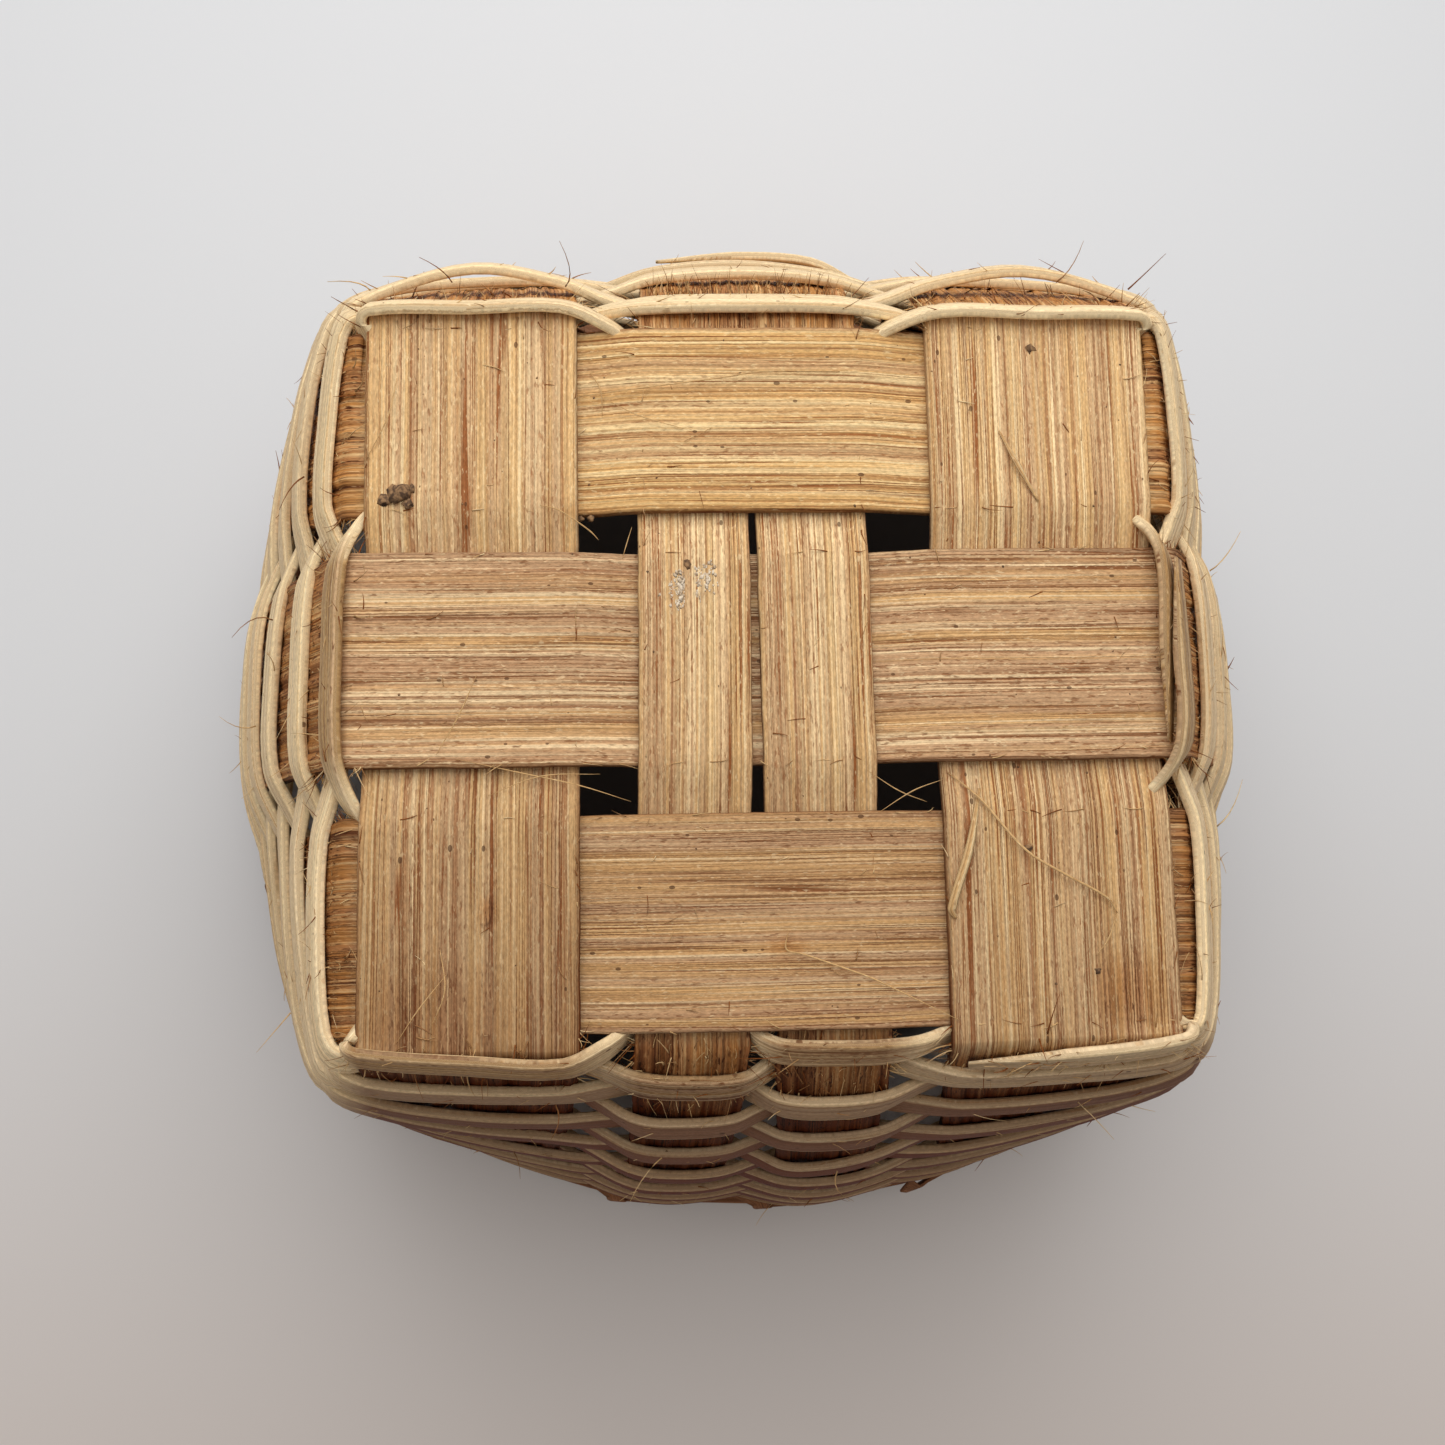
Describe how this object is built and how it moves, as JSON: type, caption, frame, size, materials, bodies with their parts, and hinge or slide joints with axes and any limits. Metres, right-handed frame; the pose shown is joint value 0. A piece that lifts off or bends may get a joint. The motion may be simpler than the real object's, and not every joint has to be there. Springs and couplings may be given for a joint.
{
  "type": "split reed basket",
  "caption": "Small square-based split reed basket with a rounded mouth, spiral woven walls and a hooped, lashed rim, stored mouth down with its plain woven base up.",
  "frame": {"origin": "centre of the mouth, in the plane that the rim stands on", "axes": "+Z from the mouth to the base, +Y to the side with three whole uprights, -Y to the side with the split stake, +X to the right as the picture shows it"},
  "size_m": [0.1324, 0.1242, 0.074],
  "materials": {
    "stake_left_reed": "bare reed, striped along its length",
    "stake_middle_split_reed": "bare reed, striped along its length",
    "stake_right_reed": "bare reed, striped along its length",
    "stake_cross_top_reed": "bare reed, striped along its length",
    "stake_cross_centre_reed": "bare reed, striped along its length",
    "stake_cross_bottom_reed": "bare reed, striped along its length",
    "weaver_first_length_reed": "bare pale reed",
    "weaver_second_length_reed": "bare pale reed",
    "weaver_third_length_reed": "bare pale reed",
    "rim_hoop_outer_reed": "bare reed, darker",
    "rim_hoop_inner_reed": "bare reed, darker",
    "rim_lashing_reed": "bare reed"
  },
  "bodies": {
    "root": {"stake_left": "stake_left_reed", "stake_middle_split": "stake_middle_split_reed", "stake_right": "stake_right_reed", "stake_cross_top": "stake_cross_top_reed", "stake_cross_centre": "stake_cross_centre_reed", "stake_cross_bottom": "stake_cross_bottom_reed", "weaver_first_length": "weaver_first_length_reed", "weaver_second_length": "weaver_second_length_reed", "weaver_third_length": "weaver_third_length_reed", "rim_hoop_outer": "rim_hoop_outer_reed", "rim_hoop_inner": "rim_hoop_inner_reed", "rim_lashing": "rim_lashing_reed"}
  },
  "joints": []
}
